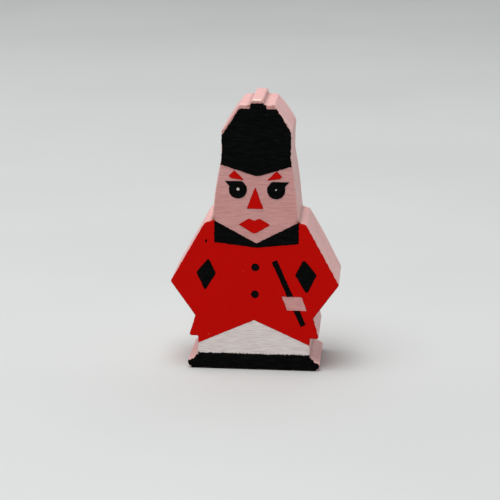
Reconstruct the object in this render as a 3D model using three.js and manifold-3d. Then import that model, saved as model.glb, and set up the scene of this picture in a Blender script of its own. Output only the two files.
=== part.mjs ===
// A wooden board-game figure: one flat sawn blank, painted all over, with its
// clothes and face screen-printed on the front as separate islands of ink.
// Millimetres. The figure stands on the floor at z = 0, faces -Y and has its
// own middle plane at x = 0.

import * as THREE from 'three';
import { mergeVertices } from 'three/addons/utils/BufferGeometryUtils.js';
import Module from 'manifold-3d';

// ---- The blank: half-widths of its silhouette, and each zone's rise above the last ----

const BOARD_THICKNESS = 10;
const EDGE_RADIUS = 0.15; // sanded edge between the silhouette and each flat side

const SOLE_HALF_WIDTH = 7.6;
const TOE_HALF_WIDTH = 8.03;
const TOE_RISE = 0.8;
const INSTEP_HALF_WIDTH = 7.45;
const INSTEP_RISE = 0.28;
const ANKLE_RISE = 0.64; // from the instep up to where the leg begins
const LEG_HALF_WIDTH = 6.7;
const LEG_RISE = 2.27; // up to the underside of the coat's tails
const TAIL_REACH = 1.1; // how far a tail stands out from the leg
const TAIL_RISE = 2.51;
const WAIST_HALF_WIDTH = 7.06;
const FOREARM_RISE = 4.15;
const ELBOW_HALF_WIDTH = 10.06;
const UPPER_ARM_RISE = 7.23;
const SHOULDER_REACH = 0.88; // from the neck out to the shoulder's corner
const SHOULDER_RISE = 0.27;
const NECK_HALF_WIDTH = 5.15;
const FACE_RISE = 7.45;
const CHEEK_BULGE = 0.26; // the corner under the cheek's curve, out from its chord
const CHEEK_SHARE = 0.57; // and how far up the face it lies
const HAT_HALF_WIDTH = 4.1;
const HAT_SIDE_RISE = 3.25;
const HAT_SLOPE_RISE = 3.2;
const CROWN_HALF_WIDTH = 2.05;
const RIDGE_FOOT_HALF_WIDTH = 0.83;
const RIDGE_TOP_HALF_WIDTH = 0.62;
const RIDGE_RISE = 0.55;

const SOLE_RADIUS = 1.2;
const CORNER_RADIUS = 0.25; // outside corners of the silhouette
const ELBOW_RADIUS = 0.35;
const SHOULDER_RADIUS = 0.5;
const CHEEK_RADIUS = 60;
const HAT_FOOT_RADIUS = 4;
const PAINT_FILLET = 0.12; // paint gathers in the inside corners

const ARC_SAG = 0.004; // how far a chord may stand off the arc it stands for
const EDGE_STEPS = 3;
const SAME_POINT = 1e-6;

// ---- Heights above the floor that the zones add up to ----

const instep = TOE_RISE + INSTEP_RISE;
const legFoot = instep + ANKLE_RISE;
const hem = legFoot + LEG_RISE;
const waist = hem + TAIL_RISE;
const elbow = waist + FOREARM_RISE;
const shoulder = elbow + UPPER_ARM_RISE;
const neck = shoulder + SHOULDER_RISE;
const hatFoot = neck + FACE_RISE;
const hatSide = hatFoot + HAT_SIDE_RISE;
const crown = hatSide + HAT_SLOPE_RISE;

// ---- The prints; a pair of numbers is [across from the middle, up from the named height] ----

const INK_THICKNESS = 0.06;
const INK_GAP = 0.02; // between two inks that lie side by side
const INK_CORNER = 0.04; // a screen print has no sharper corner
const INK_SWEEP = 2; // a corner so blunt that it reads as a bend
const BLACK_REGISTER = 0.16; // how far the black screen sits to the figure's left
const RED_REGISTER = -0.05;

const HAT_PRINT_DROP = 0.53; // bare paint left above the printed hat
const HAT_PRINT_SIDE_DROP = 0.71;
const HAT_PRINT_OVERRUN = 0.2; // past the blank's side, so that the side is printed to its edge
const HAT_PRINT_CROWN_HALF_WIDTH = 2.2;
const HAT_PRINT_RIDGE_FOOT = 1;
const HAT_PRINT_RIDGE_TOP = 0.77;
const HAT_PRINT_RIDGE_RISE = 0.65;
const BRIM_SIDE_DROP = 0.68; // below the hat's foot
const BRIM_MIDDLE_DROP = 2.05;
const BRIM_RADIUS = 1.5;

const EYE_RADIUS = 1.05;
const EYE_GAP = 2.41; // between the two eyes
const EYE_DROP = 3.65; // from the hat's foot down to the eyes' middle
const LASH_REACH = 0.42; // beyond the eye's outer side
const LASH_DROP = 0.08; // below the eye's top
const LASH_NOTCH_DEGREES = 22; // where the lash's lower edge meets the eye
const LID_DEGREES = 110; // where the straight upper lid meets it
const HIGHLIGHT_LEFT_RADIUS = 0.16; // the white dot in each eye
const HIGHLIGHT_RIGHT_RADIUS = 0.08;
const HIGHLIGHT_LIFT = 0.06;

const BROW_OUTER = [3.13, 0.57]; // up from the eyes' top
const BROW_TOP = [2.5, 1.2];
const BROW_INNER = [1.38, 0.11];
const BROW_UNDER = [2.85, 0.32];

const NOSE_TOP_LIFT = 0.32; // above the eyes' middle
const NOSE_FOOT = 1.55; // above the neck
const NOSE_HALF_WIDTH = 0.95;

const LIPS_REGISTER = -0.05; // further to the left than the rest of the red
const LIP_CORNER = [1.83, -0.39]; // from the neck
const LIP_PEAK = [0.62, 0.34];
const LIP_DIP = [0, 0.08];
const LIP_UNDER = [0.2, -1.38];

const COLLAR_INSET = 0.13; // of its sides, from the neck's sides
const COLLAR_POINT_DROP = 2.67; // from the neck down to the bottom of the neck opening
const COLLAR_SIDE_DROP = 2.59;
const COLLAR_MIDDLE_DROP = 3.17;

const COAT_SIDE_DROP = 0.86; // from the hem down to the coat's lower edge at the legs' outside
const COAT_PARTING = 3; // and from there up to where its two halves part
const BASE_PRINT_LIFT = 0.26; // above the foot of the legs

const SLEEVE_GAP_TOP = [5.65, 2.97]; // from the elbow
const SLEEVE_GAP_OUTER = [7.12, 1.22];
const SLEEVE_GAP_BOTTOM = [6.07, -1.07];
const SLEEVE_GAP_INNER = [4.74, 1.12];
const SLEEVE_GAP_RADIUS = 0.18;
const SLEEVE_GAP_SPREAD = 0.09; // the right one is printed fatter by this

const BUTTON_RADIUS = 0.48;
const BUTTON_ACROSS = 0.07;
const BUTTON_DROP = 5.53; // from the neck to the upper one
const BUTTON_SPACING = 3.29;

const BATON_WIDTH = 0.7;
const BATON_TOP = [2.32, 6.94]; // from the waist
const BATON_FOOT = [5.88, -0.91];
const BATON_RADIUS = 0.12;

const HAND_BOTTOM_LEFT = [3.91, 0.93]; // from the waist
const HAND_BOTTOM_RIGHT = [6.27, 0.93];
const HAND_TOP_RIGHT = [5.63, 2.63];
const HAND_TOP_LEFT = [3.26, 2.63];
const HAND_RADIUS = 0.25; // knuckles and heel of the hand

// ---- Flat outlines, as lists of points [across, up] ----

/** Points along an arc, both ends included, anticlockwise if to is the larger angle. */
function arc(middle, radius, from, to) {
  const stepAngle = 2 * Math.acos(1 - ARC_SAG / radius);
  const steps = Math.max(1, Math.ceil(Math.abs(to - from) / stepAngle));
  const curve = new THREE.EllipseCurve(middle.x, middle.y, radius, radius, from, to, to < from);
  return curve.getPoints(steps);
}

/** A full circle of points. */
function circle(across, up, radius) {
  return withoutRepeats(arc(new THREE.Vector2(across, up), radius, 0, 2 * Math.PI));
}

/** Rounds each corner [across, up, radius] of a closed outline with an arc that meets both sides. */
function roundedOutline(corners) {
  const points = corners.flatMap(([across, up, radius = 0], index) => {
    const corner = new THREE.Vector2(across, up);
    const [lastAcross, lastUp] = corners.at(index - 1);
    const [nextAcross, nextUp] = corners[(index + 1) % corners.length];
    const toLast = new THREE.Vector2(lastAcross, lastUp).sub(corner);
    const toNext = new THREE.Vector2(nextAcross, nextUp).sub(corner);
    const room = Math.min(toLast.length(), toNext.length()) / 2;
    toLast.normalize();
    toNext.normalize();
    const halfAngle = toLast.angleTo(toNext) / 2;
    const reach = Math.min(radius / Math.tan(halfAngle), room);
    if (reach === 0) {
      return [corner];
    }
    const arcRadius = reach * Math.tan(halfAngle);
    const inward = toLast.clone().add(toNext).normalize();
    const middle = corner.clone().addScaledVector(inward, arcRadius / Math.sin(halfAngle));
    const start = corner.clone().addScaledVector(toLast, reach).sub(middle).angle();
    const turn = Math.PI - 2 * halfAngle;
    return arc(middle, arcRadius, start, start - Math.sign(toLast.cross(toNext)) * turn);
  });
  return withoutRepeats(points);
}

/** Drops a point that lies on the one before it, the last against the first too. */
function withoutRepeats(points) {
  return points.filter((point, index) => point.distanceTo(points.at(index - 1)) > SAME_POINT);
}

/** Moves a closed anticlockwise outline inwards by a distance, or outwards if it is negative. */
function inset(points, distance) {
  return points.map((point, index) => {
    const along = point.clone().sub(points.at(index - 1)).normalize();
    const onward = points[(index + 1) % points.length].clone().sub(point).normalize();
    const inward = new THREE.Vector2(-along.y - onward.y, along.x + onward.x).normalize();
    const share = Math.cos(along.angleTo(onward) / 2);
    return point.clone().addScaledVector(inward, distance / share);
  });
}

/** Moves points sideways, as a shifted screen does. */
function shifted(points, across) {
  return points.map((point) => new THREE.Vector2(point.x + across, point.y));
}

/** A closed outline from its right-hand corners, bottom to top, and their mirror images. */
function bothSides(rightCorners) {
  const leftCorners = rightCorners
    .filter(([across]) => across > 0)
    .map(([across, up, radius]) => [-across, up, radius]);
  return [...rightCorners, ...leftCorners.reverse()];
}

/** Mirrors corners left to right where side is -1, and keeps them anticlockwise. */
function onSide(side, corners) {
  const placed = corners.map(([across, up, radius]) => [side * across, up, radius]);
  return side < 0 ? placed.reverse() : placed;
}

// ---- Solids ----

const wasm = await Module();
wasm.setup();

// Both flat sides of the finished figure are equally far from y = 0.
const INK_FACE_Y = -(BOARD_THICKNESS + INK_THICKNESS) / 2;
const FRONT_Y = INK_FACE_Y + INK_THICKNESS;

/** Stands a geometry up: its drawing plane becomes X-Z, and its depth runs back from frontY. */
function stoodUp(geometry, frontY, depth) {
  geometry.rotateX(Math.PI / 2);
  geometry.translate(0, frontY + depth, 0);
  return geometry;
}

/** An outline drawn out from one y to another. */
function slab(points, frontY, backY) {
  const depth = backY - frontY;
  const geometry = new THREE.ExtrudeGeometry(new THREE.Shape(points), { depth, bevelEnabled: false });
  return stoodUp(geometry, frontY, depth);
}

/** The manifold of a closed geometry. */
function toManifold(geometry) {
  const bare = geometry.clone();
  bare.deleteAttribute('normal');
  bare.deleteAttribute('uv');
  const merged = mergeVertices(bare);
  return new wasm.Manifold(new wasm.Mesh({
    numProp: 3,
    vertProperties: merged.attributes.position.array,
    triVerts: Uint32Array.from(merged.index.array),
  }));
}

/** The geometry of a manifold. */
function toGeometry(manifold) {
  const { vertProperties, triVerts, numProp } = manifold.getMesh();
  const geometry = new THREE.BufferGeometry();
  const positions = new THREE.InterleavedBuffer(vertProperties, numProp);
  geometry.setAttribute('position', new THREE.InterleavedBufferAttribute(positions, 3, 0));
  geometry.setIndex(new THREE.BufferAttribute(triVerts, 1));
  const loose = geometry.toNonIndexed();
  loose.computeVertexNormals();
  return loose;
}

/** The corner whose rounding makes the cheek's long curve. */
function cheekCorner() {
  const chord = THREE.MathUtils.lerp(NECK_HALF_WIDTH, HAT_HALF_WIDTH, CHEEK_SHARE);
  return [chord + CHEEK_BULGE / 2, neck + CHEEK_SHARE * FACE_RISE, CHEEK_RADIUS];
}

const silhouette = roundedOutline(bothSides([
  [SOLE_HALF_WIDTH, 0, SOLE_RADIUS],
  [TOE_HALF_WIDTH, TOE_RISE, CORNER_RADIUS],
  [INSTEP_HALF_WIDTH, instep, CORNER_RADIUS],
  [LEG_HALF_WIDTH, legFoot, PAINT_FILLET],
  [LEG_HALF_WIDTH, hem, PAINT_FILLET],
  [LEG_HALF_WIDTH + TAIL_REACH, hem, CORNER_RADIUS],
  [WAIST_HALF_WIDTH, waist, PAINT_FILLET],
  [ELBOW_HALF_WIDTH, elbow, ELBOW_RADIUS],
  [NECK_HALF_WIDTH + SHOULDER_REACH, shoulder, SHOULDER_RADIUS],
  [NECK_HALF_WIDTH, neck, PAINT_FILLET],
  cheekCorner(),
  [HAT_HALF_WIDTH, hatFoot, HAT_FOOT_RADIUS],
  [HAT_HALF_WIDTH, hatSide, CORNER_RADIUS],
  [CROWN_HALF_WIDTH, crown, CORNER_RADIUS],
  [RIDGE_FOOT_HALF_WIDTH, crown, PAINT_FILLET],
  [RIDGE_TOP_HALF_WIDTH, crown + RIDGE_RISE, CORNER_RADIUS],
]));

/** The sawn blank, with every edge between its silhouette and its flat sides rounded. */
function blank() {
  const depth = BOARD_THICKNESS - 2 * EDGE_RADIUS;
  const geometry = new THREE.ExtrudeGeometry(new THREE.Shape(silhouette), {
    depth,
    bevelThickness: EDGE_RADIUS,
    bevelSize: EDGE_RADIUS,
    bevelOffset: -EDGE_RADIUS,
    bevelSegments: EDGE_STEPS,
  });
  return stoodUp(geometry, FRONT_Y + EDGE_RADIUS, depth);
}

const CUT_OVERRUN = 1;

/** A cutter that runs through the ink layer and past both of its faces. */
function cutter(points) {
  return toManifold(slab(points, INK_FACE_Y - CUT_OVERRUN, FRONT_Y + CUT_OVERRUN));
}

const flatFront = cutter(inset(silhouette, EDGE_RADIUS));

/** One island of ink: kept on the flat front, and clear of the inks named in its knock-outs. */
function inkIsland(points, knockOuts = []) {
  let island = toManifold(slab(points, INK_FACE_Y, FRONT_Y)).intersect(flatFront);
  for (const knockOut of knockOuts) {
    island = island.subtract(cutter(inset(knockOut, -INK_GAP)));
  }
  return toGeometry(island);
}

// ---- The drawing: each ink's outline ----

const PAST_THE_EDGE = ELBOW_HALF_WIDTH + 1; // ink regions run off the blank at their sides

/** A corner of the drawing: a pair measured up from a height, with its rounding. */
function cornerAt([across, up], height, radius = INK_CORNER) {
  return [across, height + up, radius];
}

const hatPrintTop = crown - HAT_PRINT_DROP;
const hatPrintHalfWidth = HAT_HALF_WIDTH + HAT_PRINT_OVERRUN;
const hat = shifted(roundedOutline(bothSides([
  [0, hatFoot - BRIM_MIDDLE_DROP, BRIM_RADIUS],
  [hatPrintHalfWidth, hatFoot - BRIM_SIDE_DROP],
  [hatPrintHalfWidth, hatSide - HAT_PRINT_SIDE_DROP],
  [HAT_PRINT_CROWN_HALF_WIDTH, hatPrintTop, CORNER_RADIUS],
  [HAT_PRINT_RIDGE_FOOT, hatPrintTop, INK_CORNER],
  [HAT_PRINT_RIDGE_TOP, hatPrintTop + HAT_PRINT_RIDGE_RISE, CORNER_RADIUS],
])), BLACK_REGISTER);

const collarHalfWidth = NECK_HALF_WIDTH - COLLAR_INSET;
const collarRight = [
  [0, neck - COLLAR_MIDDLE_DROP, INK_SWEEP],
  [collarHalfWidth, neck - COLLAR_SIDE_DROP, INK_CORNER],
  [collarHalfWidth, neck],
];
const neckOpening = [0, neck - COLLAR_POINT_DROP, INK_CORNER];
const collarCorners = bothSides(collarRight);
const openCollarCorners = collarCorners.toSpliced(collarRight.length, 0, neckOpening);
const collarAndNeck = shifted(roundedOutline(collarCorners), BLACK_REGISTER);
const collar = shifted(roundedOutline(openCollarCorners), BLACK_REGISTER);

const eyeHeight = hatFoot - EYE_DROP;
const eyeAcross = EYE_GAP / 2 + EYE_RADIUS;

/** One eye: side is 1 for the viewer's right and -1 for the left, here and below. */
function eye(side) {
  const notch = THREE.MathUtils.degToRad(LASH_NOTCH_DEGREES);
  const lid = THREE.MathUtils.degToRad(LID_DEGREES);
  const disc = arc(new THREE.Vector2(), EYE_RADIUS, lid, 2 * Math.PI + notch);
  const points = [...disc, new THREE.Vector2(EYE_RADIUS + LASH_REACH, EYE_RADIUS - LASH_DROP)];
  const middle = BLACK_REGISTER + side * eyeAcross;
  const placed = points.map(({ x, y }) => new THREE.Vector2(middle + side * x, eyeHeight + y));
  return side < 0 ? placed.reverse() : placed;
}

/** The highlight in one eye. */
function highlight(side, radius) {
  return circle(BLACK_REGISTER + side * eyeAcross, eyeHeight + HIGHLIGHT_LIFT, radius);
}

/** One brow. */
function brow(side) {
  const eyeTop = eyeHeight + EYE_RADIUS;
  const corners = [BROW_OUTER, BROW_TOP, BROW_INNER, BROW_UNDER];
  const placed = corners.map((pair) => cornerAt(pair, eyeTop));
  return shifted(roundedOutline(onSide(side, placed)), RED_REGISTER);
}

const nose = shifted(roundedOutline(bothSides([
  [NOSE_HALF_WIDTH, neck + NOSE_FOOT, INK_CORNER],
  [0, eyeHeight + NOSE_TOP_LIFT, INK_CORNER],
])), RED_REGISTER);

const lips = shifted(roundedOutline(bothSides(
  [LIP_UNDER, LIP_CORNER, LIP_PEAK, LIP_DIP].map((pair) => cornerAt(pair, neck)),
)), RED_REGISTER + LIPS_REGISTER);

/** The dark gap between one sleeve and the coat. */
function sleeveGap(side) {
  const corners = [SLEEVE_GAP_OUTER, SLEEVE_GAP_TOP, SLEEVE_GAP_INNER, SLEEVE_GAP_BOTTOM];
  const placed = corners.map((pair) => cornerAt(pair, elbow, SLEEVE_GAP_RADIUS));
  const gap = shifted(roundedOutline(onSide(side, placed)), BLACK_REGISTER);
  return side > 0 ? inset(gap, -SLEEVE_GAP_SPREAD) : gap;
}

const buttonHeight = neck - BUTTON_DROP;
const buttonUpper = circle(BUTTON_ACROSS, buttonHeight, BUTTON_RADIUS);
const buttonLower = circle(BUTTON_ACROSS, buttonHeight - BUTTON_SPACING, BUTTON_RADIUS);

const hand = roundedOutline([
  cornerAt(HAND_BOTTOM_LEFT, waist, HAND_RADIUS),
  cornerAt(HAND_BOTTOM_RIGHT, waist),
  cornerAt(HAND_TOP_RIGHT, waist, HAND_RADIUS),
  cornerAt(HAND_TOP_LEFT, waist),
]);

/** The whole baton, square-ended; the hand hides its middle. */
function batonOutline() {
  const top = new THREE.Vector2(...BATON_TOP);
  const foot = new THREE.Vector2(...BATON_FOOT);
  const along = foot.clone().sub(top).normalize();
  const aside = new THREE.Vector2(-along.y, along.x).multiplyScalar(BATON_WIDTH / 2);
  const ends = [
    top.clone().sub(aside),
    foot.clone().sub(aside),
    foot.clone().add(aside),
    top.clone().add(aside),
  ];
  return roundedOutline(ends.map(({ x, y }) => cornerAt([x, y], waist, BATON_RADIUS)));
}

/** A rectangle between two heights that is wider than the blank. */
function band(lowHeight, highHeight) {
  return roundedOutline([
    [-PAST_THE_EDGE, lowHeight],
    [PAST_THE_EDGE, lowHeight],
    [PAST_THE_EDGE, highHeight],
    [-PAST_THE_EDGE, highHeight],
  ]);
}

const baton = batonOutline();
const belowHandTop = band(0, waist + HAND_TOP_LEFT[1]);
const aboveHandBottom = band(waist + HAND_BOTTOM_LEFT[1], neck);

const coatParting = hem - COAT_SIDE_DROP + COAT_PARTING;
const coatEdge = coatParting - COAT_PARTING * PAST_THE_EDGE / LEG_HALF_WIDTH;
const coat = roundedOutline([
  [-PAST_THE_EDGE, coatEdge],
  [0, coatParting],
  [PAST_THE_EDGE, coatEdge],
  [PAST_THE_EDGE, neck],
  [-PAST_THE_EDGE, neck],
]);

const baseTop = legFoot + BASE_PRINT_LIFT;
const base = band(-EDGE_RADIUS, baseTop);
const trousers = roundedOutline([
  [-LEG_HALF_WIDTH, baseTop],
  [LEG_HALF_WIDTH, baseTop],
  [LEG_HALF_WIDTH, coatParting],
  [-LEG_HALF_WIDTH, coatParting],
]);

// ---- The assembly ----

const PINK_PAINT = { color: 0xefb2ac, roughness: 0.45, metalness: 0 };
const BLACK_INK = { color: 0x101112, roughness: 0.5, metalness: 0 };
const RED_INK = { color: 0xbb140f, roughness: 0.5, metalness: 0 };
const WHITE_INK = { color: 0xd9cfcb, roughness: 0.6, metalness: 0 };

const figure = new THREE.Group();

/** Adds one named piece with a material of its own. */
function addPiece(name, geometry, finish) {
  const mesh = new THREE.Mesh(geometry, new THREE.MeshStandardMaterial(finish));
  mesh.name = name;
  figure.add(mesh);
}

const highlights = {
  left: highlight(-1, HIGHLIGHT_LEFT_RADIUS),
  right: highlight(1, HIGHLIGHT_RIGHT_RADIUS),
};
const sleeveGaps = { left: sleeveGap(-1), right: sleeveGap(1) };
const coatKnockOuts = [
  collarAndNeck, sleeveGaps.left, sleeveGaps.right, buttonUpper, buttonLower, baton, hand,
];

addPiece('wooden_body', blank(), PINK_PAINT);
addPiece('hat_print', inkIsland(hat), BLACK_INK);
addPiece('brow_left', inkIsland(brow(-1), [hat]), RED_INK);
addPiece('brow_right', inkIsland(brow(1), [hat]), RED_INK);
addPiece('eye_left', inkIsland(eye(-1), [highlights.left]), BLACK_INK);
addPiece('eye_right', inkIsland(eye(1), [highlights.right]), BLACK_INK);
addPiece('eye_highlight_left', inkIsland(highlights.left), WHITE_INK);
addPiece('eye_highlight_right', inkIsland(highlights.right), WHITE_INK);
addPiece('nose_print', inkIsland(nose), RED_INK);
addPiece('lips_print', inkIsland(lips, [collar]), RED_INK);
addPiece('collar_print', inkIsland(collar), BLACK_INK);
addPiece('coat_print', inkIsland(coat, coatKnockOuts), RED_INK);
addPiece('sleeve_gap_left', inkIsland(sleeveGaps.left), BLACK_INK);
addPiece('sleeve_gap_right', inkIsland(sleeveGaps.right), BLACK_INK);
addPiece('button_upper', inkIsland(buttonUpper), BLACK_INK);
addPiece('button_lower', inkIsland(buttonLower), BLACK_INK);
addPiece('baton_upper', inkIsland(baton, [belowHandTop]), BLACK_INK);
addPiece('baton_lower', inkIsland(baton, [aboveHandBottom]), BLACK_INK);
addPiece('trousers_print', inkIsland(trousers, [coat, base]), WHITE_INK);
addPiece('base_print', inkIsland(base), BLACK_INK);

export default figure;
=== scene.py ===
"""A flat wooden board-game figure: a sawn blank, dipped in pink satin paint, with its clothes and
face screen-printed on the front in black, red and white ink. Sizes are in millimetres until a
mesh is made; Blender's own values are in metres."""

import math

import bmesh
import bpy
import numpy as np
from mathutils import Matrix, Vector, noise
from mathutils.geometry import delaunay_2d_cdt
from mathutils.kdtree import KDTree


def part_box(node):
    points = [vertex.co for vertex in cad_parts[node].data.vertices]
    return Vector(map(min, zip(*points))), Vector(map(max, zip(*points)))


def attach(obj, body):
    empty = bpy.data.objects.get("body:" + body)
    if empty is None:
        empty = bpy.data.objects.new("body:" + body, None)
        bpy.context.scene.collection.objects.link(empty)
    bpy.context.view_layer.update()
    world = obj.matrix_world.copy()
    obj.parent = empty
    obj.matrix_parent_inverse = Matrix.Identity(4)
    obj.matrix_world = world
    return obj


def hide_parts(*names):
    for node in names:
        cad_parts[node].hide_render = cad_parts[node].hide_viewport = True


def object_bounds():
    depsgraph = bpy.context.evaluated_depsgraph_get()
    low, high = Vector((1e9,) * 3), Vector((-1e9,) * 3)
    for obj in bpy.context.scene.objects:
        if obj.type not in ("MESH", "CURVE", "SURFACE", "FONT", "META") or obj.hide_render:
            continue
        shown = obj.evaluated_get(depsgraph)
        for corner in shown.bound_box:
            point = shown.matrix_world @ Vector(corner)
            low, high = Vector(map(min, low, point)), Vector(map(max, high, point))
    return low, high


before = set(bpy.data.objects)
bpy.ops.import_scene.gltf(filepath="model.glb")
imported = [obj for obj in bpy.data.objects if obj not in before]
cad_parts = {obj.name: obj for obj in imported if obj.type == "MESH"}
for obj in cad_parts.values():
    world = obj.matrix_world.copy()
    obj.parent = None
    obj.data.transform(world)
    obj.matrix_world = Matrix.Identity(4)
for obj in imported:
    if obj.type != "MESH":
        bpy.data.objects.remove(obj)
cad_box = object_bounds()

MM = 0.001
BODY = "root"
BLANK_NODE = "wooden_body"

# ---- Reading the CAD's outlines and filling them ----

WELD = 1e-7  # corners this close, in metres, are one
FRONT_SLACK = 1e-6  # a face within this of the frontmost corner, in metres, is on the front
GRID_ROWS = math.sqrt(0.75)  # the rows of a net of triangles, as a share of its step
GRID_SHAKE = 0.15  # the net's points are shaken by this share, so that no pattern shows
GRID_MARGIN = 0.25  # and keep this share of a step away from the rim
CROSSING_SLACK = 1e-7  # the triangulation takes points this close, in millimetres, as one
INSET_SLACK = 0.85  # a ring's points nearer to another edge than this share of its inset go

# ---- The blank ----

OUTLINE_STEP = 0.12  # spacing of the points along the silhouette
FLAT_STEP = 0.2  # spacing of the points on the flat sides
EDGE_STEPS = 5  # facets across a sanded edge
SIDE_STEPS = 28  # facets through the board's thickness
GROOVE_TURN = math.radians(35)  # an inside corner at least this sharp is darkened there: painted shade
GROOVE_LOOK = 0.2  # how far along the outline that turn is measured
CORNER_SHADE_WIDTH = 0.22

# Knocks in the wood: [across, back from the front, down from the hat's top, radius, depth].
KNOCKS = [
    [2.0, 0.1, 0.35, 0.28, 0.09],
    [3.7, 0.5, 2.9, 0.35, 0.08],
    [-4.1, 0.1, 3.75, 0.25, 0.08],
    [-5.1, 0.2, 14.2, 0.3, 0.08],
]
# Where the silhouette was sanded hollow, or left full if the depth is negative: as for a knock.
SANDED = [
    [-2.05, 9.8, 0.6, 2.0, 0.2],
    [-2.05, 7.0, 0.6, 1.8, 0.12],
    [-2.05, 4.0, 0.6, 1.4, 0.08],
    [2.05, 9.8, 0.6, 1.2, 0.13],
    [2.05, 7.5, 0.6, 1.2, 0.1],
    [1.1, 9.8, 0.6, 0.6, 0.07],
    [3.6, 9.5, 3.0, 2.4, -0.12],
    [8.0, 9.0, 17.4, 5.0, -0.12],
]
BEAD_HALF_LENGTH = 0.62  # of the bead of paint on the hat's ridge
BEAD_BACK = 0.22  # it lies this far behind the front
BEAD_REACH = 0.3  # how far it runs back and down from there
BEAD_WAVE = 0.25  # length of the waves in its edge
BEAD_SWELL = 0.05  # how far it stands out
DENT_SHADE_REACH = 1.3  # the painted shade in a knock reaches this far, as a share of its radius

# ---- The inks ----

FILM_STEP = 0.05  # spacing of the points along an ink's edge
FILM_GRID = 0.17  # and on its face
FILM_THICKNESS = 0.035
FILM_SINK = 0.012  # how far the underside lies below the paint's surface
RIM_WIDTH = 0.04  # the film's edge is rounded over this width
RIM_RINGS = [0.012, 0.04, 0.09]  # rings of points at these distances from its edge
LOOP_LOOK = 16  # a loop that an edge makes as it is grown has fewer points than this
PROUD_WIDTH = 0.16  # the film stands a little proud this near its edge
PROUD_HEIGHT = 0.35  # as a share of its thickness
EDGE_WRAP = 0.13  # how far the ink runs out over the blank's rounded edge
NEAR_THE_EDGE = 0.02  # an ink's edge this near the blank's runs out over it
FALL_LIMIT = 0.95  # the ink follows that edge for this share of its radius

# The inks are printed in this order, each lapping over the one before where they meet.
LAYERS = {"white_ink": 0, "red_ink": 1, "black_ink": 2}
LAYER_RISE = 0.012  # each layer lies this much higher
LAP_UNDER = 0.12  # how far an ink runs on under a later one
LAP_OVER = 0.015  # and a later one over an earlier one
NEIGHBOUR_GAP = 0.06  # inks nearer than this meet
BARE_PAINT_RUN = [0.0, 0.03, 0.03]  # how far each layer's ink runs on bare paint

# How an ink's edge wanders: [how far along the grain, how far across it, spacing of the waves].
RED_WANDER = [0.025, 0.012, 0.35]
BLACK_WANDER = [0.045, 0.022, 0.3]
BASE_WANDER = [0.03, 0.11, 0.16]
WHITE_WANDER = [0.02, 0.02, 0.3]
WAVE_LENGTH = 4  # a wave of the edge is this many times longer than high where it moves along
WAVE_HEIGHT = 2  # and this many times higher than long where it moves across
NOISE_GAIN = 2  # Blender's noise seldom passes a half
ACROSS_SEED = 50  # added to the seed for the noise that moves an edge across

PRINTS = [
    ("hat_print", "black_ink", BLACK_WANDER),
    ("brow_left", "red_ink", RED_WANDER),
    ("brow_right", "red_ink", RED_WANDER),
    ("eye_left", "black_ink", RED_WANDER),
    ("eye_right", "black_ink", RED_WANDER),
    ("eye_highlight_left", "white_ink", RED_WANDER),
    ("eye_highlight_right", "white_ink", RED_WANDER),
    ("nose_print", "red_ink", RED_WANDER),
    ("lips_print", "red_ink", RED_WANDER),
    ("collar_print", "black_ink", BLACK_WANDER),
    ("coat_print", "red_ink", RED_WANDER),
    ("sleeve_gap_left", "black_ink", RED_WANDER),
    ("sleeve_gap_right", "black_ink", RED_WANDER),
    ("button_upper", "black_ink", RED_WANDER),
    ("button_lower", "black_ink", RED_WANDER),
    ("baton_upper", "black_ink", RED_WANDER),
    ("baton_lower", "black_ink", RED_WANDER),
    ("trousers_print", "white_ink", WHITE_WANDER),
    ("base_print", "black_ink", BASE_WANDER),
]

# Specks that a screen left beside its print: [across, up, half-width, half-height].
SPECKS = {
    "sleeve_gap_left": [[-5.8, 15.67, 0.1, 0.2]],
    "eye_highlight_right": [[2.1, 20.88, 0.05, 0.04]],
}
SPECK_POINTS = 14


def linear(hex_colour):
    """An sRGB hex colour as linear RGBA."""
    channels = [int(hex_colour[i : i + 2], 16) / 255 for i in (1, 3, 5)]
    bent = [c / 12.92 if c <= 0.04045 else ((c + 0.055) / 1.055) ** 2.4 for c in channels]
    return (*bent, 1.0)


# ---- Flat outlines: arrays of points [across, up] ----


def front_outlines(node):
    """The closed outlines of a CAD node's front face, the outer one anticlockwise."""
    solid = bmesh.new()
    solid.from_mesh(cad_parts[node].data)
    bmesh.ops.remove_doubles(solid, verts=solid.verts, dist=WELD)
    front = min(vertex.co.y for vertex in solid.verts) + FRONT_SLACK
    faces = {face for face in solid.faces if all(vertex.co.y < front for vertex in face.verts)}
    following = {}
    for face in faces:
        for loop in face.loops:
            if loop.link_loop_radial_next.face not in faces:
                following[loop.vert] = loop.link_loop_next.vert
    outlines = []
    while following:
        start, vertex = following.popitem()
        outline = [start]
        while vertex is not start:
            outline.append(vertex)
            vertex = following.pop(vertex)
        outlines.append(np.array([[v.co.x, v.co.z] for v in outline]) / MM)
    solid.free()
    return outlines


def densified(outline, step):
    """The outline with points added, so that none is further than step from the next."""
    points = []
    for start, end in zip(outline, np.roll(outline, -1, axis=0)):
        count = max(1, math.ceil(np.linalg.norm(end - start) / step))
        points.extend(start + (end - start) * i / count for i in range(count))
    return np.array(points)


def outward_normals(outline):
    """The outward direction at each point, longer at a corner so that an offset stays parallel."""
    before = outline - np.roll(outline, 1, axis=0)
    after = np.roll(outline, -1, axis=0) - outline
    before /= np.linalg.norm(before, axis=1)[:, None]
    after /= np.linalg.norm(after, axis=1)[:, None]
    normal = np.stack([before[:, 1] + after[:, 1], -before[:, 0] - after[:, 0]], axis=1)
    normal /= np.linalg.norm(normal, axis=1)[:, None]
    share = np.sqrt((1 + (before * after).sum(axis=1)) / 2)
    return normal / share[:, None]


def side_of(start, end, points):
    """Positive where a point lies to the left of the line from start to end."""
    along, beside = end - start, points - start
    return along[:, 0] * beside[:, 1] - along[:, 1] * beside[:, 0]


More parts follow.
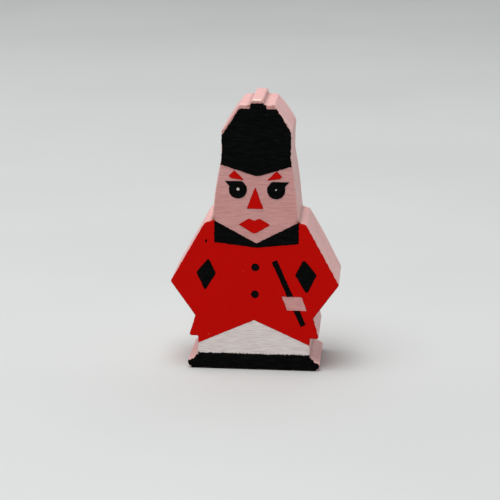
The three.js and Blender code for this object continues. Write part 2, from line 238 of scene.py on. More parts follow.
def uncrossed(outline):
    """The outline without the small loops that it makes where it crosses itself."""
    while True:
        onward = np.roll(outline, -1, axis=0)
        looped = np.zeros(len(outline), bool)
        for step in range(2, min(LOOP_LOOK, len(outline) // 2)):
            later = np.roll(outline, -step, axis=0)
            beyond = np.roll(onward, -step, axis=0)
            parted = side_of(outline, onward, later) * side_of(outline, onward, beyond) < 0
            parts = side_of(later, beyond, outline) * side_of(later, beyond, onward) < 0
            for first in np.flatnonzero(parted & parts):
                looped[(first + 1 + np.arange(step)) % len(outline)] = True
        if not looped.any():
            return outline
        outline = outline[~looped]


def inside(points, outlines):
    """Which points lie inside the outlines, holes left out."""
    odd = np.zeros(len(points), bool)
    for outline in outlines:
        for (x0, z0), (x1, z1) in zip(outline, np.roll(outline, -1, axis=0)):
            if z0 == z1:
                continue
            beside = (points[:, 1] < z0) != (points[:, 1] < z1)
            crossing = x0 + (points[:, 1] - z0) * (x1 - x0) / (z1 - z0)
            odd ^= beside & (points[:, 0] < crossing)
    return odd


def distances(points, outline):
    """How far each point is from a densely spaced outline."""
    tree = KDTree(len(outline))
    for index, (x, z) in enumerate(outline):
        tree.insert((x, z, 0), index)
    tree.balance()
    return np.array([tree.find((x, z, 0))[2] for x, z in points])


def filled(outlines, step, seed, insets=()):
    """Points and triangles that fill the outlines: their own points first, then rings set in from
    them, then a loose grid."""
    rim = np.concatenate(outlines)
    low, high = rim.min(axis=0), rim.max(axis=0)
    rows = np.arange(low[1], high[1], step * GRID_ROWS)
    grid = np.array(
        [
            (x + (row % 2) * step / 2, z)
            for row, z in enumerate(rows)
            for x in np.arange(low[0], high[0], step)
        ]
    ).reshape(-1, 2)
    shake = GRID_SHAKE * step
    grid += np.random.default_rng(seed).uniform(-shake, shake, grid.shape)
    margin = max(insets, default=0) + GRID_MARGIN * step
    grid = grid[inside(grid, outlines)]
    grid = grid[distances(grid, rim) > margin]
    rings = []
    for inset in insets:
        ring = np.concatenate([edge - inset * outward_normals(edge) for edge in outlines])
        ring = ring[inside(ring, outlines)]
        rings.append(ring[distances(ring, rim) > INSET_SLACK * inset])
    points = np.concatenate([rim, *rings, grid])
    edges, start = [], 0
    for outline in outlines:
        count = len(outline)
        edges.extend((start + i, start + (i + 1) % count) for i in range(count))
        start += count
    places = [Vector(point) for point in points]
    result = delaunay_2d_cdt(places, edges, [], 0, CROSSING_SLACK)
    corners, _, faces, origin, _, _ = result
    source = [own[0] if own else None for own in origin]
    assert None not in source and len(corners) == len(points), "an outline crosses itself"
    triangles = np.array([[source[corner] for corner in face] for face in faces])
    middles = points[triangles].mean(axis=1)
    return points, triangles[inside(middles, outlines)]


# The outline of the blank's flat front, and the same with its points closer together.
flat_outline = densified(front_outlines(BLANK_NODE)[0], OUTLINE_STEP)
flat_edge = densified(flat_outline, FILM_STEP)
blank_low, blank_high = (np.array(corner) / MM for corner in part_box(BLANK_NODE))
FRONT_Y, BACK_Y = blank_low[1], blank_high[1]
EDGE_RADIUS = blank_high[0] - flat_outline[:, 0].max()


def fall_back(points):
    """How far the blank's front surface falls back at each point, over its rounded edge."""
    out = np.where(inside(points, [flat_outline]), 0, distances(points, flat_edge))
    out = np.minimum(out, EDGE_RADIUS * FALL_LIMIT)
    return EDGE_RADIUS - np.sqrt(EDGE_RADIUS**2 - out**2)


# ---- Meshes ----


def new_piece(name, points, faces, attributes):
    """A smooth-shaded mesh object from points in millimetres, with the attributes of its points."""
    mesh = bpy.data.meshes.new(name)
    mesh.from_pydata((np.asarray(points) * MM).tolist(), [], [list(map(int, f)) for f in faces])
    mesh.shade_smooth()
    for key, values in attributes.items():
        attribute = mesh.attributes.new(key, "FLOAT", "POINT")
        attribute.data.foreach_set("value", np.asarray(values, np.float32))
    piece = bpy.data.objects.new(name, mesh)
    bpy.context.scene.collection.objects.link(piece)
    return piece


def groove_places(outline):
    """The points of the outline that lie in an inside corner."""
    before = np.roll(outline, 1, axis=0)
    along = outline - before
    headings = np.arctan2(along[:, 1], along[:, 0])
    turns = np.roll(headings, -1) - headings
    turns = (turns + math.pi) % (2 * math.pi) - math.pi
    found = []
    for point in outline:
        near = np.linalg.norm(outline - point, axis=1) < GROOVE_LOOK
        if turns[near].sum() < -GROOVE_TURN:
            found.append(point)
    return np.array(found)


def knocked(points, normals, places):
    """The points with each place pushed in against the normals, and how deep in a place each one
    lies, from 0 to 1."""
    deepest = np.zeros(len(points))
    for across, back, down, radius, depth in places:
        centre = np.array([across, FRONT_Y + back, blank_high[2] - down])
        nearest = points[np.argmin(np.linalg.norm(points - centre, axis=1))]
        reach = np.linalg.norm(points - nearest, axis=1) / radius
        points = points - normals * (depth * np.clip(1 - reach**2, 0, 1) ** 2)[:, None]
        deepest = np.maximum(deepest, np.clip(1 - (reach / DENT_SHADE_REACH) ** 2, 0, 1))
    return points, deepest


def paint_bead(points):
    """1 in the bead of thick paint along the front edge of the ridge on the hat, 0 away from it."""
    across, back, up = points.T
    down = blank_high[2] - up
    wave = np.array([noise.noise((x / BEAD_WAVE, 0, 0)) for x in across])
    run = np.clip((BEAD_HALF_LENGTH - np.abs(across)) / BEAD_WAVE, 0, 1)
    depth = back - FRONT_Y - BEAD_BACK * (1 + wave)
    return run * np.exp(-((depth / BEAD_REACH) ** 2)) * np.exp(-((down / BEAD_REACH) ** 2))


def painted_blank():
    """The blank: rings of its silhouette from the front, over both sanded edges, to the back, with
    a fine net on each flat side."""
    normals = outward_normals(flat_outline)
    quarter = np.linspace(0, math.pi / 2, EDGE_STEPS + 1)
    out = EDGE_RADIUS * np.sin(quarter)
    back = EDGE_RADIUS * (1 - np.cos(quarter))
    sides = np.linspace(FRONT_Y + EDGE_RADIUS, BACK_Y - EDGE_RADIUS, SIDE_STEPS + 1)[1:-1]
    profile = [(o, FRONT_Y + b, math.sin(2 * a)) for o, b, a in zip(out, back, quarter)]
    profile += [(EDGE_RADIUS, y, 0) for y in sides]
    to_front = zip(out[::-1], back[::-1], quarter[::-1])
    profile += [(o, BACK_Y - b, math.sin(2 * a)) for o, b, a in to_front]

    flats, triangles = filled([flat_outline], FLAT_STEP, seed=1)
    ring = len(flat_outline)
    grid = flats[ring:]
    points, outwards, arris, faces = [], [], [], []
    for offset, y, worn_and_highlit_edges in profile:
        placed = flat_outline + normals * offset
        points.extend((x, y, z) for x, z in placed)
        share = offset / EDGE_RADIUS
        lean = math.cos(math.asin(min(1, share)))
        facing = -lean if y < 0 else lean
        outwards.extend((x * share, facing, z * share) for x, z in normals)
        # this edge value later pales the paint: partly wear, partly painted highlight
        arris.extend([worn_and_highlit_edges] * ring)
    for row in range(len(profile) - 1):
        for i in range(ring):
            here, onward = row * ring + i, row * ring + (i + 1) % ring
            faces.append((here, here + ring, onward + ring, onward))
    for y, first_ring, flip in ((FRONT_Y, 0, False), (BACK_Y, (len(profile) - 1) * ring, True)):
        start = len(points) - ring
        points.extend((x, y, z) for x, z in grid)
        outwards.extend([(0, 1 if flip else -1, 0)] * len(grid))
        arris.extend([0] * len(grid))
        placed = np.where(triangles < ring, triangles + first_ring, triangles + start)
        faces.extend(placed[:, ::-1] if flip else placed)

    points = np.array(points)
    # Painted shade: darker, browner paint near the outline's inside corners, and in the knocks
    # below.
    corners = groove_places(flat_outline)
    gap = np.min(np.linalg.norm(points[:, None, [0, 2]] - corners[None], axis=2), axis=1)
    painted_recess_shade = np.exp(-((gap / CORNER_SHADE_WIDTH) ** 2))
    along = normals / np.linalg.norm(normals, axis=1)[:, None]
    nearest = [np.argmin(np.linalg.norm(flat_outline - point, axis=1)) for point in grid]
    sideways = np.concatenate([np.tile(along, (len(profile), 1)), np.tile(along[nearest], (2, 1))])
    sideways = np.insert(sideways, 1, 0, axis=1)
    points, _ = knocked(points, sideways, SANDED)
    # how deep a point lies in a knock is kept as painted shade there
    points, dent_shade = knocked(points, np.array(outwards), KNOCKS)
    # the bead swells the paint here, and the finish paints it paler as a painted highlight
    bead = paint_bead(points)
    points = points + np.array(outwards) * (BEAD_SWELL * bead)[:, None]
    values = {"arris": arris, "painted_recess_shade": np.maximum(painted_recess_shade, dent_shade), "bead": bead}
    return new_piece("painted_blank", points, faces, values)


def printed_outlines():
    """The outlines of every island of ink, by the layer that it is printed in."""
    by_layer = {}
    for node, slot, _ in PRINTS:
        dense = [densified(outline, FILM_STEP) for outline in front_outlines(node)]
        by_layer.setdefault(LAYERS[slot], {})[node] = np.concatenate(dense)
    return by_layer


def lap(outline, node, layer, by_layer):
    """How far each point of an ink's outline runs on, under or over the ink that it meets, or on
    bare paint."""
    reach = np.zeros(len(outline))
    for other_layer, others in by_layer.items():
        points = [dense for name, dense in others.items() if name != node]
        if other_layer != layer and points:
            meets = distances(outline, np.concatenate(points)) < NEIGHBOUR_GAP
            reach = np.maximum(reach, meets * (LAP_UNDER if other_layer > layer else LAP_OVER))
    return np.where(reach > 0, reach, BARE_PAINT_RUN[layer])


def wandering(node, layer, by_layer, wander, seed):
    """An ink's outlines, whose edges wander as ink does on open grain. They lap with the inks they
    meet, and run out over the blank's rounded edge where they reach it."""
    along, across, spacing = wander
    turn = np.linspace(0, 2 * math.pi, SPECK_POINTS, endpoint=False)
    round_points = np.stack([np.cos(turn), np.sin(turn)], axis=1)
    specks = [np.array([x, z]) + round_points * [w, h] for x, z, w, h in SPECKS.get(node, [])]
    moved = []
    for outline in front_outlines(node) + specks:
        outline = densified(outline, FILM_STEP)
        at_edge = distances(outline, flat_edge) < NEAR_THE_EDGE
        reach = np.where(at_edge, EDGE_WRAP, lap(outline, node, layer, by_layer))
        grown = outline + outward_normals(outline) * reach[:, None]
        shift = np.array(
            [
                (
                    along * noise.noise((x / (WAVE_LENGTH * spacing), z / spacing, seed)),
                    across
                    * noise.noise((x / spacing, z / (WAVE_HEIGHT * spacing), seed + ACROSS_SEED)),
                )
                for x, z in grown
            ]
        )
        moved.append(uncrossed(grown + NOISE_GAIN * shift))
    return moved


def ink_film(node, layer, by_layer, wander, seed):
    """One island of ink: a thin film with a rounded, slightly raised rim, closed underneath."""
    outlines = wandering(node, layer, by_layer, wander, seed)
    rim = np.concatenate(outlines)
    flats, triangles = filled(outlines, FILM_GRID, seed, RIM_RINGS)
    inner = distances(flats, rim)
    inner[: len(rim)] = 0
    rise = np.sqrt(1 - (1 - np.clip(inner / RIM_WIDTH, 0, 1)) ** 2)
    bead = 1 + PROUD_HEIGHT * np.exp(-((inner / PROUD_WIDTH) ** 2))
    surface = FRONT_Y + fall_back(flats)
    under = surface + FILM_SINK
    top = under - rise * (FILM_SINK + FILM_THICKNESS * bead + LAYER_RISE * layer)
    count, ring = len(flats), len(rim)
    points = [(x, y, z) for (x, z), y in zip(flats, top)]
    points += [(x, y, z) for (x, z), y in zip(flats[ring:], under[ring:])]
    beneath = np.where(triangles < ring, triangles, triangles + count - ring)[:, ::-1]
    edge = np.concatenate([inner, inner[ring:]])
    return new_piece(node + "_film", points, [*triangles, *beneath], {"from_edge": edge})


# ---- Node trees ----

MATH = "ShaderNodeMath"
NOISE = "ShaderNodeTexNoise"
ATTRIBUTE = "ShaderNodeAttribute"

# This one takes a value, the range that it is read in and the range that it becomes, 0 to 1 if
# none is given.
RANGE = "ShaderNodeMapRange"
SMOOTH = {"interpolation_type": "SMOOTHSTEP"}


def feed(tree, socket, value):
    """Gives a socket a value, or the output or the node that feeds it."""
    if isinstance(value, bpy.types.Node):
        value = next(output for output in value.outputs if output.enabled)
    if isinstance(value, bpy.types.NodeSocket):
        tree.links.new(value, socket)
    else:
        socket.default_value = value


def add_node(tree, kind, sockets=(), **settings):
    """Adds a node with its settings, and feeds its sockets: a list in order, or else by name,
    identifier or number."""
    node = tree.nodes.new(kind)
    for name, value in settings.items():
        setattr(node, name, value)
    for key, value in sockets.items() if isinstance(sockets, dict) else enumerate(sockets):
        found = [s for i, s in enumerate(node.inputs) if key in (i, s.identifier)]
        feed(tree, found[0] if found else node.inputs[key], value)
    return node


# ---- Finishes: sizes in millimetres, colours as sRGB hex values that linear() turns linear ----

GRAIN_SPACING = 0.13  # between the fine growth lines that show through
GRAIN_LENGTH = 1.5
GRAIN_DEPTH = 0.016
GRAIN_INWARD = 8  # the grain is this many times longer into the board than its spacing
PORE_SPACING = 0.09
PORE_LENGTH = 0.9
PORE_SHARE = 0.4  # of the pores in the grain's height
PEEL_SIZE = 0.5  # dimples of dipped paint
PEEL_DEPTH = 0.006
MOTTLE_SIZE = 4.0  # patches where the pink is slightly deeper
SIDE_SHEEN_SIZE = 0.45  # and small pale ones round the sides, which are painted sheen
EDGE_WEAR_AND_HIGHLIGHT_SIZE = 1.2  # patches where the edges pale, partly wear and partly painted highlight
PAINT_SHEEN_SIZE = 0.9  # patches of more and less gloss in the paint
INK_SHEEN_SIZE = 0.6  # and in the inks
RECESS_SHADE_STRENGTH = 0.9  # how strongly painted shade darkens the paint in the inside corners and knocks
FLECK_SPACING = 1.3  # dust and pinholes in the inks
FLECK_RADIUS = 0.13
PINK_FLECKS_APART = 1.5  # in the pink they are this much further apart
PINK_FLECKS_SIZE = 0.8  # and smaller
RED_GRAIN = 0.6  # the red ink, which is thicker, keeps this share of the grain's depth
PAINT_IOR = 1.5
INK_SPECULAR = 0.03  # a screen ink's resin is mostly pigment, and hardly shines


def grain_noise(tree, length, spacing, detail, seed):
    """Noise stretched along the board's grain, which runs across the figure."""
    place = add_node(tree, "ShaderNodeTexCoord").outputs["Object"]
    scale = (1 / (length * MM), 1 / (spacing * GRAIN_INWARD * MM), 1 / (spacing * MM))
    mapped = add_node(tree, "ShaderNodeMapping", {"Vector": place, "Scale": scale})
    sockets = {"Vector": mapped, "W": seed, "Scale": 1.0, "Detail": detail}
    return add_node(tree, NOISE, sockets, noise_dimensions="4D")


def even_noise(tree, size, detail, seed):
    """Noise of one size in every direction."""
    place = add_node(tree, "ShaderNodeTexCoord").outputs["Object"]
    sockets = {"Vector": place, "W": seed, "Scale": 1 / (size * MM), "Detail": detail}
    return add_node(tree, NOISE, sockets, noise_dimensions="4D")


def layered(tree, base, layers):
    """A colour with others laid over it in turn: [how much, colour] each."""
    for amount, colour in layers:
        sockets = {"Factor_Float": amount, "A_Color": base, "B_Color": linear(colour)}
        base = add_node(tree, "ShaderNodeMix", sockets, data_type="RGBA")
    return base


def flecks(tree, spacing, radius):
    """1 in small round flecks, one in some of the cells of a given spacing."""
    place = add_node(tree, "ShaderNodeTexCoord").outputs["Object"]
    cells = add_node(tree, "ShaderNodeTexVoronoi", {"Vector": place, "Scale": 1 / (spacing * MM)})
    reach = [cells.outputs["Distance"], radius / spacing / 2, radius / spacing, 1.0, 0.0]
    near = add_node(tree, RANGE, reach, **SMOOTH)
    draw = add_node(tree, "ShaderNodeSeparateColor", [cells.outputs["Color"]])
    chosen = add_node(tree, RANGE, [draw, 0.5, 1.0], **SMOOTH)
    return add_node(tree, MATH, [near, chosen], operation="MULTIPLY")


def flat_side(tree):
    """1 on the board's two flat sides, 0 round its silhouette."""
    normal = add_node(tree, "ShaderNodeNewGeometry").outputs["True Normal"]
    facing = add_node(tree, "ShaderNodeSeparateXYZ", [normal]).outputs["Y"]
    upright = add_node(tree, MATH, [facing], operation="ABSOLUTE")
    return add_node(tree, RANGE, [upright, 0.8, 0.98], **SMOOTH)


def round_the_sides(tree, value):
    """The value round the silhouette, 0 on the board's two flat sides."""
    share = add_node(tree, MATH, [1.0, flat_side(tree)], operation="SUBTRACT")
    return add_node(tree, MATH, [value, share], operation="MULTIPLY")


def new_finish(name, **values):
    """A material with its shader's even values set."""
    finish = bpy.data.materials.new(name)
    finish.use_nodes = True
    shader = finish.node_tree.nodes["Principled BSDF"]
    for key, value in values.items():
        shader.inputs[key.replace("_", " ")].default_value = value
    return finish, finish.node_tree, shader


def grain_normal(tree, depth):
    """Growth lines and pores of close-grained wood, felt through what lies over them."""
    lines = grain_noise(tree, GRAIN_LENGTH, GRAIN_SPACING, detail=3, seed=1.0)
    pores = grain_noise(tree, PORE_LENGTH, PORE_SPACING, detail=1, seed=2.0)
    closed = add_node(tree, RANGE, [pores, 0.3, 0.45], **SMOOTH)
    height = add_node(tree, MATH, [closed, PORE_SHARE, lines], operation="MULTIPLY_ADD")
    height = add_node(tree, MATH, [height, flat_side(tree)], operation="MULTIPLY")
    sockets = {"Height": height, "Distance": depth * MM, "Strength": 1.0}
    return add_node(tree, "ShaderNodeBump", sockets)


def satin_pink_paint():
    """Pink satin lacquer, dipped and tumbled, with the wood's fine lines under it. Its colour also
    holds painted light: the rounded edges pale, partly with wear and partly as a painted highlight;
    the inside corners and knocks are darker and browner, as painted shade; the bead of paint on the
    hat's ridge is paler, as a painted highlight; and small pale patches round the sides are painted
    sheen."""
    finish, tree, shader = new_finish("satin_pink_dipped_paint", IOR=PAINT_IOR)
    mottle = even_noise(tree, MOTTLE_SIZE, detail=2, seed=3.0)
    mottle = add_node(tree, RANGE, [mottle, 0.35, 0.65], **SMOOTH)
    # Painted sheen: small pale patches round the sides.
    painted_side_sheen = round_the_sides(tree, even_noise(tree, SIDE_SHEEN_SIZE, detail=3, seed=9.0))
    painted_side_sheen = add_node(tree, RANGE, [painted_side_sheen, 0.45, 0.7, 0.0, 0.55], **SMOOTH)
    dust = flecks(tree, FLECK_SPACING * PINK_FLECKS_APART, FLECK_RADIUS * PINK_FLECKS_SIZE)
    lines = grain_noise(tree, GRAIN_LENGTH, GRAIN_SPACING, detail=3, seed=1.0)
    streak = add_node(tree, RANGE, [lines, 0.38, 0.66, 0.0, 0.6], **SMOOTH)
    streak = add_node(tree, MATH, [streak, flat_side(tree)], operation="MULTIPLY")
    # The rounded edges pale: partly wear, partly painted highlight.
    arris = add_node(tree, ATTRIBUTE, attribute_name="arris").outputs["Fac"]
    patchy = even_noise(tree, EDGE_WEAR_AND_HIGHLIGHT_SIZE, detail=3, seed=4.0)
    patchy = add_node(tree, RANGE, [patchy, 0.4, 0.62, 0.15, 0.6], **SMOOTH)
    worn_and_highlit_edges = add_node(tree, MATH, [arris, patchy], operation="MULTIPLY")
    # Painted shade in the inside corners and knocks.
    painted_recess_shade = add_node(tree, ATTRIBUTE, attribute_name="painted_recess_shade").outputs["Fac"]
    recess_shade_mix = add_node(tree, MATH, [painted_recess_shade, RECESS_SHADE_STRENGTH], operation="MULTIPLY")
    # Painted highlight: the bead on the ridge's front edge is painted paler cream.
    bead = add_node(tree, ATTRIBUTE, attribute_name="bead").outputs["Fac"]
    painted_bead_highlight = add_node(tree, RANGE, [bead, 0.3, 0.7, 0.0, 0.8], **SMOOTH)
    layers = [
        (mottle, "#e1a29f"),
        # painted sheen round the sides
        (painted_side_sheen, "#f0c3bd"),
        (dust, "#b77a74"),
        (streak, "#c98783"),
        # partly wear, partly painted highlight on the rounded edges
        (worn_and_highlit_edges, "#f6cfc2"),
        # painted shade in the inside corners and knocks
        (recess_shade_mix, "#8f5a4c"),
        # painted highlight on the bead of paint
        (painted_bead_highlight, "#fbe2d0"),
    ]
    feed(tree, shader.inputs["Base Color"], layered(tree, linear("#e7aaa7"), layers))
    sheen = even_noise(tree, PAINT_SHEEN_SIZE, detail=3, seed=5.0)
    sheen = add_node(tree, RANGE, [sheen, 0.3, 0.7, 0.34, 0.5], **SMOOTH)
    feed(tree, shader.inputs["Roughness"], sheen)
    peel = round_the_sides(tree, even_noise(tree, PEEL_SIZE, detail=2, seed=6.0))
    sockets = {"Height": peel, "Distance": PEEL_DEPTH * MM, "Strength": 1.0}
    sockets["Normal"] = grain_normal(tree, GRAIN_DEPTH)
    feed(tree, shader.inputs["Normal"], add_node(tree, "ShaderNodeBump", sockets))
    return finish


def screen_ink(name, body, streak, streaks, rim, fleck, roughness, grain):
    """Screen ink pulled across open grain: it thins over the grain's ridges in fine streaks along
    it, and stands a little thicker and darker at its edge. Paler streaks, as on the black ink, are
    partly that thinning and partly painted sheen. Takes the colours of the body, streaks, rim and
    flecks, how strong the streaks are, the range of roughness and the grain's depth."""
    finish, tree, shader = new_finish(name, IOR=PAINT_IOR, Specular_IOR_Level=INK_SPECULAR)
    lines = grain_noise(tree, GRAIN_LENGTH, GRAIN_SPACING, detail=3, seed=1.0)
    # streaks along the grain: thin ink, and on the black ink also painted sheen
    thin_and_sheen_streaks = add_node(tree, RANGE, [lines, 0.4, 0.68, 0.0, streaks], **SMOOTH)
    inner = add_node(tree, ATTRIBUTE, attribute_name="from_edge").outputs["Fac"]
    at_rim = add_node(tree, RANGE, [inner, 0.02, 0.16, 0.8, 0.0], **SMOOTH)
    dust = flecks(tree, FLECK_SPACING, FLECK_RADIUS)
    colour = layered(tree, linear(body), [(thin_and_sheen_streaks, streak), (at_rim, rim), (dust, fleck)])
    feed(tree, shader.inputs["Base Color"], colour)
    sheen = even_noise(tree, INK_SHEEN_SIZE, detail=3, seed=7.0)
    sheen = add_node(tree, RANGE, [sheen, 0.3, 0.7, *roughness], **SMOOTH)
    feed(tree, shader.inputs["Roughness"], sheen)
    feed(tree, shader.inputs["Normal"], grain_normal(tree, grain))
    return finish


def black_screen_ink():
    """Near-black ink, dense and half matt. Its paler streaks along the grain are partly thin ink
    and partly painted sheen.
    """
    return screen_ink(
        "black_screen_ink",
        body="#040505",
        # paler streaks: partly thin ink, partly painted sheen
        streak="#181818",
        streaks=0.55,
        rim="#030303",
        fleck="#222020",
        roughness=(0.42, 0.6),
        grain=GRAIN_DEPTH,
    )


def red_screen_ink():
    """Bright red ink, even and half matt."""
    return screen_ink(
        "red_screen_ink",
        body="#d40b05",
        streak="#c91009",
        streaks=0.5,
        rim="#b20a05",
        fleck="#e5402e",
        roughness=(0.45, 0.6),
        grain=GRAIN_DEPTH * RED_GRAIN,
    )


def white_screen_ink():
    """White ink, thin enough for the pink to warm it in streaks."""
    return screen_ink(
        "white_screen_ink",
        body="#f7eeeb",
        streak="#e0ccc6",
        streaks=0.8,
        rim="#ecdeda",
        fleck="#ded3d8",
        roughness=(0.5, 0.65),
        grain=GRAIN_DEPTH,
    )


# ---- The relief that the wood gives to everything on it ----

RELIEF_SPACING = 1.1  # between the ridges of the grain
RELIEF_LENGTH = 9.0
RELIEF_DEPTH = 0.02
SWELL_SIZE = 3.5
SWELL_DEPTH = 0.05
RELIEF_SEED = 11
FLAT_FROM = 0.93  # the sides end, and the flats begin, at these shares of half the thickness
FLAT_TO = 0.985
NOISE_MIDDLE = 0.5


def relief_tree():
    """Raises and lowers points with the grain on the flat sides, and gives the sides of the
    silhouette the slow swells of a sawn and tumbled edge."""
    tree = bpy.data.node_groups.new("wood_relief", "GeometryNodeTree")
    tree.interface.new_socket("Geometry", in_out="INPUT", socket_type="NodeSocketGeometry")
    lengths = ["Half Thickness", "Relief Spacing", "Relief Length", "Relief Depth"]
    for name in [*lengths, "Swell Size", "Swell Depth", "Seed"]:
        tree.interface.new_socket(name, in_out="INPUT", socket_type="NodeSocketFloat")
    tree.interface.new_socket("Finish", in_out="INPUT", socket_type="NodeSocketMaterial")
    tree.interface.new_socket("Geometry", in_out="OUTPUT", socket_type="NodeSocketGeometry")
    given = add_node(tree, "NodeGroupInput").outputs
    place = add_node(tree, "GeometryNodeInputPosition")
    x, y, z = add_node(tree, "ShaderNodeSeparateXYZ", [place]).outputs
    side = add_node(tree, MATH, [y], operation="SIGN")
    depth = add_node(tree, MATH, [y], operation="ABSOLUTE")
    depth = add_node(tree, MATH, [depth, given["Half Thickness"]], operation="DIVIDE")
    flat = add_node(tree, RANGE, [depth, FLAT_FROM, FLAT_TO], **SMOOTH)
    long = add_node(tree, MATH, [x, given["Relief Length"]], operation="DIVIDE")
    high = add_node(tree, MATH, [z, given["Relief Spacing"]], operation="DIVIDE")
    stretched = add_node(tree, "ShaderNodeCombineXYZ", [long, side, high])
    sockets = {"Vector": stretched, "W": given["Seed"], "Scale": 1.0, "Detail": 2.0}
    lines = add_node(tree, NOISE, sockets, noise_dimensions="4D")
    raised = add_node(tree, MATH, [lines, NOISE_MIDDLE], operation="SUBTRACT")
    raised = add_node(tree, MATH, [raised, given["Relief Depth"]], operation="MULTIPLY")
    raised = add_node(tree, MATH, [raised, flat], operation="MULTIPLY")
    outward = add_node(tree, MATH, [side, raised], operation="MULTIPLY")
    grain = add_node(tree, "ShaderNodeCombineXYZ", {1: outward})
    size = add_node(tree, MATH, [1.0, given["Swell Size"]], operation="DIVIDE")
    sockets = {"Vector": place, "W": given["Seed"], "Scale": size, "Detail": 1.0}
    swell = add_node(tree, NOISE, sockets, noise_dimensions="4D")
    swell = add_node(tree, MATH, [swell, NOISE_MIDDLE], operation="SUBTRACT")
    swell = add_node(tree, MATH, [swell, given["Swell Depth"]], operation="MULTIPLY")
    not_flat = add_node(tree, MATH, [1.0, flat], operation="SUBTRACT")
    swell = add_node(tree, MATH, [swell, not_flat], operation="MULTIPLY")
    normal = add_node(tree, "GeometryNodeInputNormal")
    sockets = {0: normal, "Scale": swell}
    sideways = add_node(tree, "ShaderNodeVectorMath", sockets, operation="SCALE")
    offset = add_node(tree, "ShaderNodeVectorMath", [grain, sideways])
    sockets = {"Geometry": given["Geometry"], "Offset": offset}
    moved = add_node(tree, "GeometryNodeSetPosition", sockets)
    whole = add_node(tree, "GeometryNodeRealizeInstances", [moved])
    sockets = {"Geometry": whole, "Material": given["Finish"]}
    painted = add_node(tree, "GeometryNodeSetMaterial", sockets)
    add_node(tree, "NodeGroupOutput", [painted])
    return tree


def baked(piece, tree, values):
    """Runs a piece through a tree of Geometry Nodes and keeps the result as its plain mesh."""
    modifier = piece.modifiers.new(tree.name, "NODES")
    modifier.node_group = tree
    for socket in tree.interface.items_tree:
        if socket.in_out == "INPUT" and socket.name in values:
            modifier[socket.identifier] = values[socket.name]
    graph = bpy.context.evaluated_depsgraph_get()
    mesh = bpy.data.meshes.new_from_object(piece.evaluated_get(graph), depsgraph=graph)
    piece.modifiers.remove(modifier)
    piece.data = mesh
    return piece


def relieved(piece, tree, finish):
    """A piece with the wood's relief, in its finish."""
    values = {
        "Half Thickness": BACK_Y * MM,
        "Relief Spacing": RELIEF_SPACING * MM,
        "Relief Length": RELIEF_LENGTH * MM,
        "Relief Depth": RELIEF_DEPTH * MM,
        "Swell Size": SWELL_SIZE * MM,
        "Swell Depth": SWELL_DEPTH * MM,
        "Seed": float(RELIEF_SEED),
        "Finish": finish,
    }
    return baked(piece, tree, values)


# ---- The figure ----

pink = satin_pink_paint()
inks = {
    "black_ink": black_screen_ink(),
    "red_ink": red_screen_ink(),
    "white_ink": white_screen_ink(),
}
relief = relief_tree()

blank = relieved(painted_blank(), relief, pink)
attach(blank, BODY)
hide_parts(BLANK_NODE)

by_layer = printed_outlines()
for seed, (node, slot, wander) in enumerate(PRINTS, start=2):
    film = ink_film(node, LAYERS[slot], by_layer, wander, seed)
    relieved(film, relief, inks[slot])
    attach(film, BODY)
    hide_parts(node)

# ---- Floor, light and camera ----

FLOOR_SIZE = 2000.0
CLOUD_SIZE = 60  # slow changes in the board's tone

LAMP_PLACE = (-100, -100, 600)
LAMP_AIM = (0, 0, 14)
LAMP_SIZE = 480
LAMP_POWER = 3.2
ROOM_LIGHT = 0.34
FAR_WALL_LIGHT = 0.8

FOCAL_LENGTH = 141.5  # on a sensor 36 wide
SENSOR_WIDTH = 36
CAMERA_DISTANCE = 232.4
CAMERA_YAW = math.radians(4.0)
CAMERA_PITCH = math.radians(13.05)
CAMERA_ROLL = math.radians(-0.672)
AIM_ACROSS = -0.58  # the point aimed at lies on the printed front
AIM_HEIGHT = 14.71
NEAREST_SEEN = 10
FURTHEST_SEEN = 10000


def pale_floor():
    """A wide sheet of smooth, uncoated pale board: matt, with slow changes of tone."""
    half = FLOOR_SIZE / 2
    corners = [(-half, -half, 0), (half, -half, 0), (half, half, 0), (-half, half, 0)]
    floor = new_piece("floor", corners, [(0, 1, 2, 3)], {})
    finish, tree, shader = new_finish("pale_board", Roughness=0.8)
    cloud = even_noise(tree, CLOUD_SIZE, detail=3, seed=8.0)
    cloud = add_node(tree, RANGE, [cloud, 0.3, 0.7], **SMOOTH)
    base = layered(tree, linear("#d3d5d4"), [(cloud, "#cfd1d0")])
    feed(tree, shader.inputs["Base Color"], base)
    floor.data.materials.append(finish)


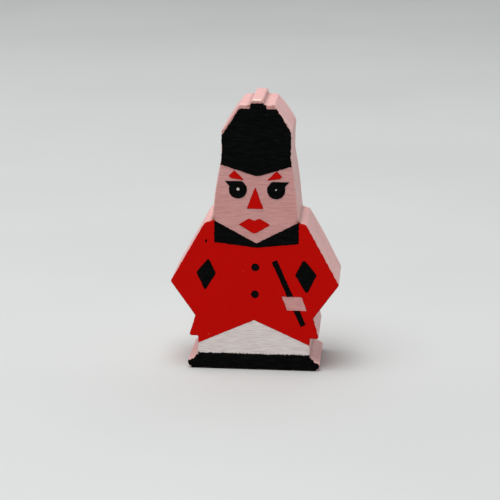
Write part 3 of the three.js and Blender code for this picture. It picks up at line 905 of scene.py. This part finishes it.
def soft_light(name, place, aim, size, power, colour):
    """A round area light, placed and aimed in millimetres."""
    lamp = bpy.data.lights.new(name, "AREA")
    lamp.shape = "DISK"
    lamp.size = size * MM
    lamp.energy = power
    lamp.color = linear(colour)[:3]
    light = bpy.data.objects.new(name, lamp)
    light.location = Vector(place) * MM
    light.rotation_euler = (Vector(aim) - Vector(place)).to_track_quat("-Z", "Y").to_euler()
    bpy.context.scene.collection.objects.link(light)


def studio():
    """Soft light from above and a little to the left, in a pale room whose far wall is brighter."""
    world = bpy.data.worlds.new("room")
    world.use_nodes = True
    tree = world.node_tree
    room = tree.nodes["Background"]
    room.inputs["Color"].default_value = linear("#f4f6f6")
    direction = add_node(tree, "ShaderNodeTexCoord").outputs["Generated"]
    backward = add_node(tree, "ShaderNodeSeparateXYZ", [direction]).outputs["Y"]
    walls = [backward, 0.1, 0.9, ROOM_LIGHT, FAR_WALL_LIGHT]
    feed(tree, room.inputs["Strength"], add_node(tree, RANGE, walls, **SMOOTH))
    bpy.context.scene.world = world
    soft_light("ceiling_panel", LAMP_PLACE, LAMP_AIM, LAMP_SIZE, LAMP_POWER, "#ffffff")


def camera():
    """A long lens a little above and to the right of the figure, turned slightly."""
    data = bpy.data.cameras.new("camera")
    data.lens = FOCAL_LENGTH
    data.sensor_width = SENSOR_WIDTH
    data.clip_start = NEAREST_SEEN * MM
    data.clip_end = FURTHEST_SEEN * MM
    viewer = bpy.data.objects.new("camera", data)
    bpy.context.scene.collection.objects.link(viewer)
    forward = Vector(
        (
            -math.sin(CAMERA_YAW) * math.cos(CAMERA_PITCH),
            math.cos(CAMERA_YAW) * math.cos(CAMERA_PITCH),
            -math.sin(CAMERA_PITCH),
        )
    )
    level = Vector((math.cos(CAMERA_YAW), math.sin(CAMERA_YAW), 0))
    down = forward.cross(level)
    right = math.cos(CAMERA_ROLL) * level + math.sin(CAMERA_ROLL) * down
    up = math.sin(CAMERA_ROLL) * level - math.cos(CAMERA_ROLL) * down
    aim = Vector((AIM_ACROSS, cad_box[0].y / MM, AIM_HEIGHT))
    place = (aim - CAMERA_DISTANCE * forward) * MM
    turn = Matrix((right, up, -forward)).transposed().to_4x4()
    viewer.matrix_world = Matrix.Translation(place) @ turn
    bpy.context.scene.camera = viewer


pale_floor()
studio()
camera()
bpy.context.scene.view_settings.view_transform = "Standard"
